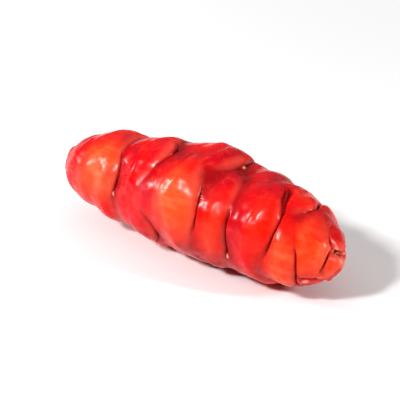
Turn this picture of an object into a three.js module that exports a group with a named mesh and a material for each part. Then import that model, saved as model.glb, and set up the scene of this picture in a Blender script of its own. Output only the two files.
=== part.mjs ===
// One oca tuber (the root sold as a New Zealand yam), grown as a single solid.
// Millimetres, +Z up, resting on z = 0, long axis along X with the growing tip at +X.
import * as THREE from "three";

// Driving dimensions
const BODY_LENGTH = 82;
const END_BLUNTNESS = 3.2;
const BEND_DROP = 2.2;
const REST_FLAT = 0.8;
const STATION_BLEND = 5.5;

// Plain body radius under the swellings, from the stem end to the growing tip: [x, radius]
const BODY_STATIONS = [
  [-41, 10.4],
  [-34, 9.0],
  [-26, 8.4],
  [-16, 9.2],
  [-5, 10.7],
  [6, 11.1],
  [16, 10.0],
  [24, 9.1],
  [32, 9.1],
  [41, 9.2],
];

// The swellings between the eyes. Each is a plump scale: steep at its free edge, which faces the
// growing tip, and running out gently toward the stem. Angles start at the top and turn toward -Y.
// Columns: x, angle in degrees, reach toward the tip, reach toward the stem, half width, height,
// the last one times RELIEF
const SWELLINGS = [
  [-25.5, 62, 7, 22, 15, 2.3],
  [-13.2, 20, 8, 11, 12, 2.5],
  [1.0, 66, 9, 16, 14, 3.0],
  [12.0, 88, 6.5, 15, 17, 2.3],
  [22.5, 59, 7.5, 10, 12.5, 2.9],
  [29.8, 100, 6.5, 9, 11.5, 2.6],
  [5.0, 334, 7, 15, 12.5, 2.5],
  [25, 8, 6, 12, 11, 2.0],
  [35.6, 50, 5.5, 9, 11, 2.2],
  [-24, 180, 7, 24, 15, 2.4],
  [-26.5, 300, 7, 22, 16, 2.3],
  [-12, 118, 7, 13, 13, 2.1],
  [-9, 196, 7, 15, 14, 2.7],
  [-11, 258, 7, 15, 14, 2.4],
  [-1, 292, 7, 14, 13, 2.5],
  [3, 150, 7, 14, 14, 2.0],
  [9, 240, 7, 16, 14.5, 2.6],
  [17, 295, 7, 14, 13, 2.5],
  [12, 196, 6.5, 13, 12.5, 1.9],
  [22.5, 162, 7, 13, 12.5, 2.8],
  [25.5, 218, 7, 13, 12.5, 2.8],
  [28, 330, 6, 11, 11, 2.3],
  [33, 150, 5.5, 10, 10, 2.2],
  [31, 270, 6, 11, 10.5, 2.4],
  [37.8, 320, 4, 6, 8, 1.6],
  [38.6, 110, 4, 7, 8, 1.5],
  [38.6, 215, 4, 6, 8, 1.5],
];
const RELIEF = 1.95;

// Mesh fineness
const RINGS = 58;
const SECTORS = 54;

const SKIN_COLOUR = "#d3180f";
const SKIN_ROUGHNESS = 0.35;
const SKIN_METALNESS = 0;

// Shape of one swelling: the flat share of its crown, the powers of its free edge and its run-out,
// how far round the change from one to the other goes, and how its height grows toward the tip
const EDGE_SHOULDER = 0.12;
const EDGE_FALL = 2.2;
const RUN_OUT_FALL = 1.15;
const FACING_BLEND = 0.5;
const CREST_MEAN = 0.88;
const CREST_RISE = 0.12;

// Millimetres over which two swellings melt into each other, and a small step of sweep
const UNION_SOFTNESS = 1;
const TANGENT_STEP = 0.001;
const HALF_LENGTH = BODY_LENGTH / 2;

// Gaussian blend of the stations, so the outline has no corners.
function bodyRadius(x) {
  let weightSum = 0;
  let radiusSum = 0;
  for (const [stationX, stationRadius] of BODY_STATIONS) {
    const weight = Math.exp(-(((x - stationX) / STATION_BLEND) ** 2));
    weightSum += weight;
    radiusSum += weight * stationRadius;
  }
  return radiusSum / weightSum;
}

// Plain body: sweep runs 0 to pi from the stem end to the tip, angle runs round from the top.
function bodyPoint(sweep, angle) {
  const along = -Math.cos(sweep);
  const cap = Math.sqrt(Math.max(1 - Math.abs(along) ** END_BLUNTNESS, 0));
  const x = HALF_LENGTH * along;
  const radius = bodyRadius(x) * cap;
  return new THREE.Vector3(x, -radius * Math.sin(angle), radius * Math.cos(angle));
}

// Unit vector along the body's surface toward the growing tip.
function bodyTangent(sweep, angle) {
  const ahead = bodyPoint(sweep + TANGENT_STEP, angle);
  const behind = bodyPoint(sweep - TANGENT_STEP, angle);
  return ahead.sub(behind).normalize();
}

// Unit vector round the body, from the top toward -Y.
function aroundDirection(angle) {
  return new THREE.Vector3(0, -Math.cos(angle), -Math.sin(angle));
}

function bodyNormal(sweep, angle) {
  return aroundDirection(angle).cross(bodyTangent(sweep, angle)).normalize();
}

// A swelling's place on the plain body and the directions it is measured in.
function swellingFrame([x, degrees, tipReach, stemReach, halfWidth, height]) {
  const sweep = Math.acos(-x / HALF_LENGTH);
  const angle = THREE.MathUtils.degToRad(degrees);
  const centre = bodyPoint(sweep, angle);
  return {
    centre,
    girth: Math.hypot(centre.y, centre.z),
    forward: bodyTangent(sweep, angle),
    across: aroundDirection(angle),
    outward: bodyNormal(sweep, angle),
    tipReach,
    stemReach,
    halfWidth,
    height: RELIEF * height,
  };
}

const swellings = SWELLINGS.map(swellingFrame);

// Height of one swelling over a point of the plain body. Its width is measured round the body.
function swellingHeight(point, swelling) {
  const offset = point.clone().sub(swelling.centre);
  const forward = offset.dot(swelling.forward);
  const reach = forward > 0 ? swelling.tipReach : swelling.stemReach;
  const along = forward / reach;
  const turn = Math.atan2(offset.dot(swelling.across), swelling.girth + offset.dot(swelling.outward));
  const across = (turn * swelling.girth) / swelling.halfWidth;
  const distance = Math.hypot(along, across);
  if (distance >= 1) {
    return 0;
  }
  const pastShoulder = Math.max(distance - EDGE_SHOULDER, 0) / (1 - EDGE_SHOULDER);
  const freeEdge = Math.sqrt(1 - pastShoulder ** EDGE_FALL);
  const runOut = (1 - distance ** 2) ** RUN_OUT_FALL;
  const facing = distance > 0 ? along / distance : 0;
  const facingTip = THREE.MathUtils.smoothstep(facing, -FACING_BLEND, FACING_BLEND);
  const crest = CREST_MEAN + CREST_RISE * along;
  return swelling.height * crest * THREE.MathUtils.lerp(runOut, freeEdge, facingTip);
}

// Soft union of all the swellings over a point of the plain body.
function skinHeight(point) {
  let sum = 0;
  for (const swelling of swellings) {
    sum += Math.expm1(swellingHeight(point, swelling) / UNION_SOFTNESS);
  }
  return UNION_SOFTNESS * Math.log1p(sum);
}

function skinPoint(sweep, angle) {
  const base = bodyPoint(sweep, angle);
  const height = skinHeight(base);
  const point = base.addScaledVector(bodyNormal(sweep, angle), height);
  point.z -= BEND_DROP * (point.x / HALF_LENGTH) ** 2;
  return point;
}

function polePoint(x) {
  const direction = Math.sign(x);
  const base = new THREE.Vector3(x, 0, 0);
  const height = skinHeight(base);
  return new THREE.Vector3(x + direction * height, 0, -BEND_DROP);
}

// Closed surface: one pole point at each end and rings of points between them.
function tuberPoints() {
  const points = [polePoint(-HALF_LENGTH)];
  for (let ring = 1; ring < RINGS; ring += 1) {
    const sweep = (Math.PI * ring) / RINGS;
    for (let sector = 0; sector < SECTORS; sector += 1) {
      points.push(skinPoint(sweep, (2 * Math.PI * sector) / SECTORS));
    }
  }
  points.push(polePoint(HALF_LENGTH));
  return points;
}

// Fans at the poles and two triangles for each square between rings, all facing outward.
function tuberTriangles(lastPoint) {
  const triangles = [];
  const at = (ring, sector) => 1 + (ring - 1) * SECTORS + (sector % SECTORS);
  for (let sector = 0; sector < SECTORS; sector += 1) {
    triangles.push(0, at(1, sector + 1), at(1, sector));
    triangles.push(lastPoint, at(RINGS - 1, sector), at(RINGS - 1, sector + 1));
  }
  for (let ring = 1; ring < RINGS - 1; ring += 1) {
    for (let sector = 0; sector < SECTORS; sector += 1) {
      const corner = at(ring, sector);
      const beside = at(ring, sector + 1);
      const ahead = at(ring + 1, sector);
      const opposite = at(ring + 1, sector + 1);
      triangles.push(corner, opposite, ahead);
      triangles.push(corner, beside, opposite);
    }
  }
  return triangles;
}

// Centres the tuber over the origin and flattens the lowest swellings where it rests.
function settle(points) {
  const box = new THREE.Box3().setFromPoints(points);
  const middle = box.getCenter(new THREE.Vector3());
  const floor = box.min.z + REST_FLAT;
  for (const point of points) {
    point.x -= middle.x;
    point.y -= middle.y;
    point.z = Math.max(point.z - floor, 0);
  }
}

function tuberGeometry() {
  const points = tuberPoints();
  settle(points);
  const geometry = new THREE.BufferGeometry();
  geometry.setFromPoints(points);
  geometry.setIndex(tuberTriangles(points.length - 1));
  geometry.computeVertexNormals();
  return geometry;
}

const skin = new THREE.MeshStandardMaterial({
  color: SKIN_COLOUR,
  roughness: SKIN_ROUGHNESS,
  metalness: SKIN_METALNESS,
});
const tuber = new THREE.Mesh(tuberGeometry(), skin);
tuber.name = "yam_tuber";

const root = new THREE.Group();
root.name = "yam";
root.add(tuber);

export default root;
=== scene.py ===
import bpy
import numpy as np
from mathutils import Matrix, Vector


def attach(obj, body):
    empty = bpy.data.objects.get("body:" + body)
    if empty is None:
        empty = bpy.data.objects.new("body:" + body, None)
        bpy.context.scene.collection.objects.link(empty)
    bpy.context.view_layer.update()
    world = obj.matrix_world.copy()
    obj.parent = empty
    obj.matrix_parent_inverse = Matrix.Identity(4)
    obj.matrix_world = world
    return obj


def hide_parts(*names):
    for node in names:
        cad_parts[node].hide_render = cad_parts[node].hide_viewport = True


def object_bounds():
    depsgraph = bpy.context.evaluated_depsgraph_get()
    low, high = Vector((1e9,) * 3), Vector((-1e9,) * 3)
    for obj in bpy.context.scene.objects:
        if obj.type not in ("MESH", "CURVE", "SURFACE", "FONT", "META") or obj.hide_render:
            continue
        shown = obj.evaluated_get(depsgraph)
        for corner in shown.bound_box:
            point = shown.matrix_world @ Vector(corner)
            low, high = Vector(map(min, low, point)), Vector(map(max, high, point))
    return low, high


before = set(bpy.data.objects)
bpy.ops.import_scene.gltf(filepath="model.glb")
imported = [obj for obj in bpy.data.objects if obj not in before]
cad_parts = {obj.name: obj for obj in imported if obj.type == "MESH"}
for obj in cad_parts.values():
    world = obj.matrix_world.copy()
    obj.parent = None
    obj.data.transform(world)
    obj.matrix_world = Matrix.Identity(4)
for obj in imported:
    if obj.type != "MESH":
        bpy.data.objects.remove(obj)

cad_low, cad_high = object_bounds()


# ---------------------------------------------------------------------------------------------
# The body of the tuber
# An oca's root is one spindle of firm, watery flesh, thickest a little past its middle. The
# stem end is the narrower one, at -X, and the growing tip is blunt, at +X.
# ---------------------------------------------------------------------------------------------

MM = 0.001
BODY_LENGTH = 82
HALF_LENGTH = BODY_LENGTH / 2
END_BLUNTNESS = 3.2
STATION_BLEND = 5.5
BODY_STATIONS = np.array([
    (-41, 10.4), (-34, 9.0), (-26, 8.4), (-16, 9.2), (-5, 10.7),
    (6, 11.1), (16, 10.0), (24, 9.1), (32, 9.1), (41, 9.2),
])
RINGS = 420
SECTORS = 236
TANGENT_STEP = 0.001
SHORTEST = 1e-12


def smooth(low, high, value):
    """0 below low, 1 above high, and 3t^2 - 2t^3 between them."""
    t = np.clip((value - low) / (high - low), 0, 1)
    return t * t * (3 - 2 * t)


def body_radius(x):
    """Radius in mm at x: the mean of the stations, each weighted by a Gaussian of its distance."""
    weight = np.exp(-((x[..., None] - BODY_STATIONS[:, 0]) / STATION_BLEND) ** 2)
    return (weight * BODY_STATIONS[:, 1]).sum(-1) / weight.sum(-1)


def body_point(sweep, angle):
    """Plain spindle: x is minus the cosine of sweep, the radius closes as a superellipse, and
    angle turns round from the top toward -Y."""
    along = -np.cos(sweep)
    cap = np.sqrt(np.maximum(1 - np.abs(along) ** END_BLUNTNESS, 0))
    x = HALF_LENGTH * along
    radius = body_radius(x) * cap
    return np.stack([x, -radius * np.sin(angle), radius * np.cos(angle)], -1)


def unit(vectors):
    """Vectors divided by their lengths."""
    return vectors / np.maximum(np.linalg.norm(vectors, axis=-1, keepdims=True), SHORTEST)


def body_axes(sweep, angle):
    """Unit vectors on the plain spindle: toward the tip, round from the top to -Y, and out."""
    ahead = body_point(sweep + TANGENT_STEP, angle)
    behind = body_point(sweep - TANGENT_STEP, angle)
    forward = unit(ahead - behind)
    across = np.stack([np.zeros_like(angle), -np.cos(angle), -np.sin(angle)], -1)
    return forward, across, unit(np.cross(across, forward))


sweep_lines = np.pi * np.arange(1, RINGS) / RINGS
angle_lines = 2 * np.pi * np.arange(SECTORS) / SECTORS
sweep, angle = (grid.ravel() for grid in np.meshgrid(sweep_lines, angle_lines, indexing="ij"))
sweep = np.concatenate([[0.0], sweep, [np.pi]])
angle = np.concatenate([[0.0], angle, [0.0]])
base = body_point(sweep, angle)
forward, across, outward = body_axes(sweep, angle)
outward[0] = (-1, 0, 0)
outward[-1] = (1, 0, 0)


# ---------------------------------------------------------------------------------------------
# The swellings
# Between its eyes the flesh swells into plump scales. Each has a steep free edge toward the
# growing tip, leaning a little over the crease, and runs out under its neighbours stemward.
# ---------------------------------------------------------------------------------------------

# x, angle in degrees, reach toward the tip, reach toward the stem, half width, height, blush
SWELLINGS = [
    (-25.5, 62, 7, 22, 15, 2.3, 0.9),
    (-13.2, 20, 8, 11, 12, 2.5, 0.1),
    (1.0, 66, 9, 16, 14, 3.0, 0.9),
    (12.0, 88, 6.5, 15, 17, 2.3, 0.5),
    (22.5, 59, 7.5, 10, 12.5, 2.9, 0.35),
    (29.8, 100, 6.5, 9, 11.5, 2.6, 0.9),
    (5.0, 334, 7, 15, 12.5, 2.5, -0.6),
    (25, 8, 6, 12, 11, 2.0, -0.3),
    (35.6, 50, 5.5, 9, 11, 2.2, 0.9),
    (-24, 180, 7, 24, 15, 2.4, 0.3),
    (-26.5, 300, 7, 22, 16, 2.3, 0.5),
    (-12, 118, 7, 13, 13, 2.1, -0.3),
    (-9, 196, 7, 15, 14, 2.7, 0.1),
    (-11, 258, 7, 15, 14, 2.4, -0.2),
    (-1, 292, 7, 14, 13, 2.5, 0.3),
    (3, 150, 7, 14, 14, 2.0, 0.2),
    (9, 240, 7, 16, 14.5, 2.6, 0.5),
    (17, 295, 7, 14, 13, 2.5, -0.3),
    (12, 196, 6.5, 13, 12.5, 1.9, -0.1),
    (22.5, 162, 7, 13, 12.5, 2.8, 0.4),
    (25.5, 218, 7, 13, 12.5, 2.8, 0.0),
    (28, 330, 6, 11, 11, 2.3, 0.4),
    (33, 150, 5.5, 10, 10, 2.2, 0.3),
    (31, 270, 6, 11, 10.5, 2.4, 0.6),
    (37.8, 320, 4, 6, 8, 1.6, 0.3),
    (38.6, 110, 4, 7, 8, 1.5, 1.0),
    (38.6, 215, 4, 6, 8, 1.5, 0.2),
]
RELIEF = 1.95
OUTLINE_WANDER = 0.6
WAVE_SPREAD = (0.7, 1.6)
TINY = 1e-6

# One swelling: the flat share of its crown, the powers of its free edge and its run-out, how far
# round the change between them goes, its rise toward the tip, and where its rim faces the tip
EDGE_SHOULDER = 0.12
EDGE_FALL = 2.2
RUN_OUT_FALL = 1.15
FACING_BLEND = 0.5
CREST_MEAN = 0.88
CREST_RISE = 0.12
RIM_FACING = (0.2, 0.9)

# The blush on its crown, as shares of the swelling's own reaches and half width
BLUSH_MIDDLE = 0.2
BLUSH_AHEAD = 1.2
BLUSH_BEHIND = 0.42
BLUSH_ASIDE = 0.52

# How swellings join, and how far the flesh between the eyes is rounded off
SOFT_UNION = 1.0
SHARP_UNION = 0.2
SHARE_BLEND = 0.35
ROUNDING = 34

# The eye under the middle of a free edge: its crease, the lip that leans over it and its bud
EYE_SPAN = 0.44
EYE_CORE = 0.3
EYE_BLUR = 4
CRISP_EYE = 0.8
FULL_HEIGHT = 2.2
CREASE_DEPTH = 1.3
CREASE_WIDTH = 0.3
EDGE_LEAN = 0.9
LIP_START = (0.45, 0.85)
LIP_END = (1.0, 0.93)
BUD_SIZE = 0.65
BUD_HEIGHT = 0.6
BUD_ASIDE = 0.25
BUD_INSET = 0.2
BUD_EDGE = 0.3
OPEN_CREASE = 0.3


def waves(points, seed, wavelength, count):
    """Smooth wander: for each output axis the sum of count plane sine waves, in directions and
    phases drawn from the seed, with lengths near wavelength, scaled to an even spread of 1."""
    draw = np.random.default_rng(seed)
    total = np.zeros(points.shape)
    for _ in range(count):
        direction = unit(draw.normal(size=(3, 3)))
        number = direction * draw.uniform(*WAVE_SPREAD) * 2 * np.pi / wavelength
        total += np.sin(points @ number.T + draw.uniform(0, 2 * np.pi, 3))
    return total / np.sqrt(count)


def swelling_shape(points, swelling):
    """One swelling over points of the spindle: its height, how squarely a point faces the free
    edge (0 to 1), how near the middle of that edge it is (0 to 1), its distance in reaches (1 at
    the rim), the blush round its crown, its forward direction, and the bud under its free edge."""
    x, degrees, tip_reach, stem_reach, half_width, height, blush = swelling
    at = np.arccos(np.array([-x / HALF_LENGTH]))
    turn = np.radians(np.array([degrees]))
    ahead, beside, out = (axis[0] for axis in body_axes(at, turn))
    offset = points - body_point(at, turn)[0]
    along = offset @ ahead
    past_rim = along - tip_reach
    crown_middle = BLUSH_MIDDLE * tip_reach
    crown_reach = np.where(along > crown_middle, BLUSH_AHEAD * tip_reach, BLUSH_BEHIND * stem_reach)
    crown = (along - crown_middle) / crown_reach
    along = along / np.where(along > 0, tip_reach, stem_reach)
    girth = np.hypot(*body_point(at, turn)[0, 1:])
    round_mm = np.arctan2(offset @ beside, girth + offset @ out) * girth
    sideways = round_mm / half_width
    distance = np.hypot(along, sideways) + TINY
    facing = along / distance
    past = np.clip(distance - EDGE_SHOULDER, 0, None) / (1 - EDGE_SHOULDER)
    free_edge = np.sqrt(np.clip(1 - past ** EDGE_FALL, 0, 1))
    run_out = np.clip(1 - distance ** 2, 0, 1) ** RUN_OUT_FALL
    shape = run_out + (free_edge - run_out) * smooth(-FACING_BLEND, FACING_BLEND, facing)
    shape *= CREST_MEAN + CREST_RISE * np.clip(along, -1, 1)
    inside = distance < 1
    bud_aside = BUD_ASIDE * half_width
    edge_middle = smooth(EYE_SPAN, EYE_CORE * EYE_SPAN, np.abs(sideways))
    bud = np.exp(-((past_rim + BUD_INSET) ** 2 + (round_mm - bud_aside) ** 2) / BUD_SIZE ** 2)
    return {
        "height": RELIEF * height * shape * inside,
        "facing": smooth(*RIM_FACING, facing) * inside,
        "eye": min(height / FULL_HEIGHT, 1) * edge_middle * inside * (facing > 0),
        "distance": distance,
        "patch": np.exp(-crown ** 2 - (sideways / BLUSH_ASIDE) ** 2) * blush,
        "ahead": ahead,
        "bud": bud,
    }


def blurred(values, passes):
    """Values on the rings, each replaced that many times by the mean of itself and its four
    neighbours; the poles keep their own."""
    grid = values[1:-1].reshape(RINGS - 1, SECTORS)
    for _ in range(passes):
        padded = np.pad(grid, ((1, 1), (0, 0)), mode="edge")
        grid = (grid + padded[:-2] + padded[2:] + np.roll(grid, 1, 1) + np.roll(grid, -1, 1)) / 5
    return np.concatenate([values[:1], grid.ravel(), values[-1:]])


wandering = base + OUTLINE_WANDER * waves(base, seed=3, wavelength=16, count=8)
shapes = [swelling_shape(wandering, swelling) for swelling in SWELLINGS]
heights = np.array([shape["height"] for shape in shapes])
facings = np.array([shape["facing"] for shape in shapes])
eyes = np.array([shape["eye"] for shape in shapes])
distances = np.array([shape["distance"] for shape in shapes])
ordered = np.sort(heights, axis=0)
top = ordered[-1]
gap = ordered[-1] - ordered[-2]
share = np.exp((heights - top) / SHARE_BLEND) * (heights > 0)
sharp = (share * facings).max(0)
softness = SOFT_UNION + (SHARP_UNION - SOFT_UNION) * sharp
rise = softness * np.log1p(np.expm1(heights / softness).sum(0))
eye = blurred((share * eyes).max(0), EYE_BLUR)
rounded = blurred(rise, ROUNDING)
rise = rounded + (rise - rounded) * smooth(0, CRISP_EYE, eye)
crease = np.exp(-gap / CREASE_WIDTH) * eye

share /= share.sum(0) + TINY
patches = np.array([shape["patch"] for shape in shapes])
blush = (share * patches).sum(0)
# The lip share leans the free edges over their creases and also carries a painted highlight in the skin
lip = smooth(*LIP_START, distances) * smooth(*LIP_END, distances) * facings * share
lean = np.zeros_like(base)
for shape, amount in zip(shapes, lip):
    lean += (amount * shape["eye"])[:, None] * shape["ahead"]

# A bud stays only where a crease runs beside it.
bud = np.zeros_like(rise)
for shape in shapes:
    if crease[shape["bud"] > BUD_EDGE].max(initial=0) > OPEN_CREASE:
        bud = np.maximum(bud, shape["bud"])

# The growing tip closes on a bud of its own.
TIP_BUD_SIZE = 1.1
from_tip = np.where(base[:, 0] > 0, np.hypot(base[:, 1], base[:, 2]), HALF_LENGTH)
tip_bud = np.exp(-(from_tip / TIP_BUD_SIZE) ** 2)
bud = np.maximum(bud, tip_bud)

# The flesh is a little uneven: lumps, ripples and fine wrinkles drawn out along the tuber.
LUMP_HEIGHT = 0.25
RIPPLE_HEIGHT = 0.055
WRINKLE_HEIGHT = 0.018
WRINKLE_STRETCH = (0.35, 1, 1)
lumps = waves(base, seed=11, wavelength=9, count=10)
ripples = waves(base, seed=23, wavelength=3.2, count=14)
wrinkles = waves(base * WRINKLE_STRETCH, seed=31, wavelength=1.7, count=12)

# The stem end keeps a corky scar, sunk inside a low rim, where the tuber came off the plant.
SCAR_RADIUS = 2.6
SCAR_FLOOR = 0.6
SCAR_WANDER = 0.3
SCAR_DEPTH = 0.7
RIM_HEIGHT = 0.35
RIM_WIDTH = 0.6
from_axis = np.where(base[:, 0] < 0, np.hypot(base[:, 1], base[:, 2]), HALF_LENGTH)
from_axis += SCAR_WANDER * ripples[:, 0]
scar = smooth(SCAR_RADIUS, SCAR_FLOOR * SCAR_RADIUS, from_axis)
rim = np.exp(-((from_axis - SCAR_RADIUS) / RIM_WIDTH) ** 2)

depth = CREASE_DEPTH * crease * (1 - tip_bud) - BUD_HEIGHT * bud + SCAR_DEPTH * scar - RIM_HEIGHT * rim
points = base + outward * (rise - depth)[:, None]
points += EDGE_LEAN * lean
points += LUMP_HEIGHT * lumps + RIPPLE_HEIGHT * ripples + WRINKLE_HEIGHT * wrinkles

# Both ends droop, and the lowest swellings are flattened where the tuber rests.
BEND_DROP = 2.2
REST_FLAT = 0.8
points[:, 2] -= BEND_DROP * (points[:, 0] / HALF_LENGTH) ** 2
low, high = points.min(0), points.max(0)
points[:, :2] -= (low + high)[:2] / 2
points[:, 2] = np.maximum(points[:, 2] - low[2] - REST_FLAT, 0)


def tuber_faces():
    """Quads between neighbouring rings and a fan of triangles at each pole, all facing out."""
    ring = 1 + SECTORS * np.arange(RINGS - 1)[:, None]
    sector = np.arange(SECTORS)[None, :]
    beside = (sector + 1) % SECTORS
    quads = np.stack([ring[:-1] + sector, ring[:-1] + beside, ring[1:] + beside, ring[1:] + sector], -1)
    last = 1 + SECTORS * (RINGS - 1)
    start = np.stack([np.zeros_like(sector), ring[0] + beside, ring[0] + sector], -1)
    end = np.stack([np.full_like(sector, last), ring[-1] + sector, ring[-1] + beside], -1)
    return quads.reshape(-1, 4).tolist() + start.reshape(-1, 3).tolist() + end.reshape(-1, 3).tolist()


mesh = bpy.data.meshes.new("tuber")
mesh.from_pydata((points * MM).tolist(), [], tuber_faces())
mesh.polygons.foreach_set("use_smooth", np.ones(len(mesh.polygons), bool))

# What the colours of the skin follow; the valley and crease marks carry painted shade and the lip mark a
# painted highlight
VALLEY_SPREAD = 90
VALLEY_HEIGHT = 0.5
CORKY_RIM = 0.5
marks = {
    "crease": crease,
    "valley_shade": (blurred(rise, VALLEY_SPREAD) - rise) / VALLEY_HEIGHT,
    "blush": blush,
    "lip": lip.sum(0),
    "bud": bud,
    "scar": np.maximum(scar, CORKY_RIM * rim),
}
for name, values in marks.items():
    mark = mesh.attributes.new(name, "FLOAT", "POINT")
    mark.data.foreach_set("value", values.astype(np.float32))
mesh.update()
tuber = bpy.data.objects.new("tuber", mesh)
bpy.context.scene.collection.objects.link(tuber)


# ---------------------------------------------------------------------------------------------
# The skin
# Thin, waxy and glossy. It is red, orange where a swelling blushes, with pale buds and a corky scar
# at the stem end. Painted shade darkens it to deep red in the hollows and near black in the creases,
# and a painted highlight turns the rims of the free edges pale pink.
# ---------------------------------------------------------------------------------------------

skin = bpy.data.materials.new("tuber_skin")
skin.use_nodes = True
nodes, links = skin.node_tree.nodes, skin.node_tree.links
nodes.clear()
output = nodes.new("ShaderNodeOutputMaterial")
shader = nodes.new("ShaderNodeBsdfPrincipled")
links.new(shader.outputs["BSDF"], output.inputs["Surface"])
shader.inputs["Specular IOR Level"].default_value = 0.27
shader.inputs["IOR"].default_value = 1.45
shader.inputs["Subsurface Weight"].default_value = 0.12
shader.inputs["Subsurface Radius"].default_value = (1.0, 0.25, 0.1)
shader.inputs["Subsurface Scale"].default_value = 0.002


def attribute(name):
    """The mesh attribute's value output."""
    node = nodes.new("ShaderNodeAttribute")
    node.attribute_name = name
    return node.outputs["Fac"]


def mix_colour(factor, first, second):
    """A plain mix from the first colour to the second by factor. A colour is four numbers or the
    output of another node."""
    node = nodes.new("ShaderNodeMix")
    node.data_type = "RGBA"
    links.new(factor, node.inputs[0])
    for socket, colour in ((node.inputs[6], first), (node.inputs[7], second)):
        if isinstance(colour, tuple):
            socket.default_value = colour
        else:
            links.new(colour, socket)
    return node.outputs[2]


def ranged(value, low, high, to_low=0.0, to_high=1.0):
    """value carried from low..high to to_low..to_high along a smooth step."""
    node = nodes.new("ShaderNodeMapRange")
    node.interpolation_type = "SMOOTHSTEP"
    links.new(value, node.inputs["Value"])
    for name, number in (("From Min", low), ("From Max", high), ("To Min", to_low), ("To Max", to_high)):
        node.inputs[name].default_value = number
    return node.outputs["Result"]


coordinates = nodes.new("ShaderNodeTexCoord").outputs["Object"]


def noise(scale, detail, stretch=(1, 1, 1)):
    """Value of a soft noise with features 1/scale metres across, longer where stretch is small."""
    mapping = nodes.new("ShaderNodeMapping")
    mapping.inputs["Scale"].default_value = stretch
    links.new(coordinates, mapping.inputs["Vector"])
    node = nodes.new("ShaderNodeTexNoise")
    links.new(mapping.outputs["Vector"], node.inputs["Vector"])
    node.inputs["Scale"].default_value = scale
    node.inputs["Detail"].default_value = detail
    return node.outputs["Fac"]


CREASE_SHADE_RED = (0.13, 0.0, 0.001, 1)
VALLEY_SHADE_RED = (0.26, 0.0002, 0.002, 1)
CRIMSON = (0.47, 0.0003, 0.012, 1)
RED = (0.74, 0.001, 0.002, 1)
ORANGE = (0.96, 0.075, 0.016, 1)
PEACH = (0.98, 0.2, 0.08, 1)
RIM_HIGHLIGHT_PINK = (0.95, 0.12, 0.08, 1)
BUD_PINK = (0.85, 0.28, 0.2, 1)
CORK = (0.4, 0.22, 0.09, 1)
OLIVE = (0.17, 0.1, 0.035, 1)
mottled = mix_colour(ranged(noise(90, 4), 0.35, 0.65), RED, CRIMSON)
flecked = mix_colour(ranged(noise(650, 2), 0.5, 0.75, 0.0, 0.3), mottled, ORANGE)
warm = mix_colour(ranged(attribute("blush"), 0.05, 1.0), flecked, ORANGE)
streaked = mix_colour(ranged(noise(500, 3, (0.12, 1, 1)), 0.42, 0.66, 0.0, 0.45), warm, PEACH)
glowing = mix_colour(ranged(attribute("blush"), 0.3, 0.9), warm, streaked)
# Painted highlight: the lips of the free edges are lightened toward pale pink, like a sheen along the
# shoulders
rim_highlighted = mix_colour(ranged(attribute("lip"), 0.3, 1.0, 0.0, 0.5), glowing, RIM_HIGHLIGHT_PINK)
blotched = mix_colour(ranged(noise(230, 3), 0.52, 0.7, 0.0, 0.5), rim_highlighted, RED)
# Painted shade: deep red where the surface lies lower than its blurred surroundings
shaded_valleys = mix_colour(ranged(attribute("valley_shade"), -0.3, 1.2), blotched, VALLEY_SHADE_RED)
# Painted shade: the creases under the free edges are darkened to near black red
shaded_creases = mix_colour(ranged(attribute("crease"), 0.15, 0.9), shaded_valleys, CREASE_SHADE_RED)
budded = mix_colour(ranged(attribute("bud"), 0.35, 0.8), shaded_creases, BUD_PINK)
cork = mix_colour(ranged(noise(900, 4), 0.35, 0.65), CORK, OLIVE)
scarred = mix_colour(ranged(attribute("scar"), 0.25, 0.7), budded, cork)
links.new(scarred, shader.inputs["Base Color"])

waxy = nodes.new("ShaderNodeMath")
waxy.operation = "MAXIMUM"
links.new(ranged(noise(260, 3), 0.35, 0.7, 0.22, 0.36), waxy.inputs[0])
links.new(ranged(attribute("crease"), 0.1, 0.6, 0.0, 0.8), waxy.inputs[1])
rough = nodes.new("ShaderNodeMath")
rough.operation = "MAXIMUM"
links.new(waxy.outputs[0], rough.inputs[0])
links.new(ranged(attribute("scar"), 0.25, 0.7, 0.0, 0.75), rough.inputs[1])
links.new(rough.outputs[0], shader.inputs["Roughness"])
bump = nodes.new("ShaderNodeBump")
bump.inputs["Strength"].default_value = 0.2
bump.inputs["Distance"].default_value = 0.0005
links.new(noise(420, 5, (0.3, 1, 1)), bump.inputs["Height"])
links.new(bump.outputs["Normal"], shader.inputs["Normal"])
tuber.data.materials.append(skin)

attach(tuber, "root")
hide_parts("yam_tuber")


# ---------------------------------------------------------------------------------------------
# The table and the studio
# A pale seamless sheet that glows far off, so that it meets the pale room evenly. Three small
# soft lamps stand round the tuber, and a very wide dim one shines from above and behind.
# ---------------------------------------------------------------------------------------------

FLOOR_HALF = 3.0
NEAR_FLOOR = 0.1
FAR_FLOOR = 0.55
FAR_GLOW = 0.5
floor_mesh = bpy.data.meshes.new("floor")
floor_corners = [(-FLOOR_HALF, -FLOOR_HALF, 0), (FLOOR_HALF, -FLOOR_HALF, 0),
                 (FLOOR_HALF, FLOOR_HALF, 0), (-FLOOR_HALF, FLOOR_HALF, 0)]
floor_mesh.from_pydata(floor_corners, [], [(0, 1, 2, 3)])
floor = bpy.data.objects.new("floor", floor_mesh)
bpy.context.scene.collection.objects.link(floor)
paper = bpy.data.materials.new("paper")
paper.use_nodes = True
paper_nodes, paper_links = paper.node_tree.nodes, paper.node_tree.links
paper_shader = paper_nodes["Principled BSDF"]
paper_shader.inputs["Base Color"].default_value = (0.86, 0.86, 0.86, 1)
paper_shader.inputs["Roughness"].default_value = 0.8
place = paper_nodes.new("ShaderNodeTexCoord").outputs["Object"]
reach = paper_nodes.new("ShaderNodeVectorMath")
reach.operation = "LENGTH"
paper_links.new(place, reach.inputs[0])
glow = paper_nodes.new("ShaderNodeMapRange")
glow.interpolation_type = "SMOOTHSTEP"
glow.inputs["From Min"].default_value = NEAR_FLOOR
glow.inputs["From Max"].default_value = FAR_FLOOR
glow.inputs["To Max"].default_value = FAR_GLOW
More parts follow.
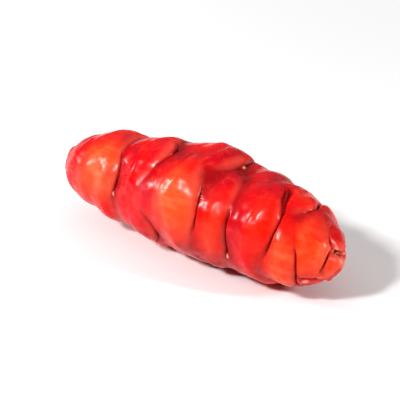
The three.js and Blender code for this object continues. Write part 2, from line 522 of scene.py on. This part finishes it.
paper_links.new(reach.outputs["Value"], glow.inputs["Value"])
paper_shader.inputs["Emission Color"].default_value = (1, 1, 1, 1)
paper_links.new(glow.outputs["Result"], paper_shader.inputs["Emission Strength"])
floor.data.materials.append(paper)

# The room gives little light but looks pale to the camera.
ROOM_LIGHT = 0.1
SEEN_ROOM = 0.78
world = bpy.data.worlds.new("room")
world.use_nodes = True
room = world.node_tree.nodes["Background"]
room.inputs["Color"].default_value = (1, 1, 1, 1)
seen = world.node_tree.nodes.new("ShaderNodeMapRange")
seen.inputs["To Min"].default_value = ROOM_LIGHT
seen.inputs["To Max"].default_value = SEEN_ROOM
path = world.node_tree.nodes.new("ShaderNodeLightPath")
world.node_tree.links.new(path.outputs["Is Camera Ray"], seen.inputs["Value"])
world.node_tree.links.new(seen.outputs["Result"], room.inputs["Strength"])
bpy.context.scene.world = world

middle = (cad_low + cad_high) / 2


def aim(item, place, target):
    """Puts a lamp or camera at place, looking at target."""
    item.location = place
    direction = target - item.location
    item.rotation_euler = direction.to_track_quat("-Z", "Y").to_euler()


def around(azimuth, elevation, distance):
    """The point at that distance from the tuber's middle, with the angles in degrees: azimuth 0 is
    straight in front, at -Y, and 90 is at +X."""
    turn, lift = np.radians(azimuth), np.radians(elevation)
    direction = (np.sin(turn) * np.cos(lift), -np.cos(turn) * np.cos(lift), np.sin(lift))
    return np.array(middle) + distance * np.array(direction)


def lamp(name, azimuth, elevation, distance, width, height, power):
    """A soft lamp facing the tuber."""
    light = bpy.data.lights.new(name, "AREA")
    light.shape = "RECTANGLE"
    light.size = width
    light.size_y = height
    light.energy = power
    item = bpy.data.objects.new(name, light)
    bpy.context.scene.collection.objects.link(item)
    aim(item, around(azimuth, elevation, distance), middle)


lamp("left", -16, 42, 0.6, 0.08, 0.08, 2.7)
lamp("far_left", -64, 20, 0.6, 0.06, 0.09, 1.7)
lamp("right", 102, 26, 0.6, 0.04, 0.1, 1.5)

overhead_light = bpy.data.lights.new("overhead", "SUN")
overhead_light.energy = 0.75
overhead_light.angle = np.radians(110)
overhead = bpy.data.objects.new("overhead", overhead_light)
bpy.context.scene.collection.objects.link(overhead)
aim(overhead, around(200, 70, 1.0), middle)


# ---------------------------------------------------------------------------------------------
# The camera
# A long lens a little above the table, with the growing tip coming toward it.
# ---------------------------------------------------------------------------------------------

VIEW_AZIMUTH = 38
VIEW_ELEVATION = 28
VIEW_DISTANCE = 0.42
camera_data = bpy.data.cameras.new("camera")
camera_data.lens = 150
camera_data.sensor_width = 36
camera_data.clip_start = 0.01
camera = bpy.data.objects.new("camera", camera_data)
bpy.context.scene.collection.objects.link(camera)
aim(camera, around(VIEW_AZIMUTH, VIEW_ELEVATION, VIEW_DISTANCE), middle)
bpy.context.scene.camera = camera
bpy.context.scene.view_settings.view_transform = "Standard"
bpy.context.scene.view_settings.look = "Medium High Contrast"
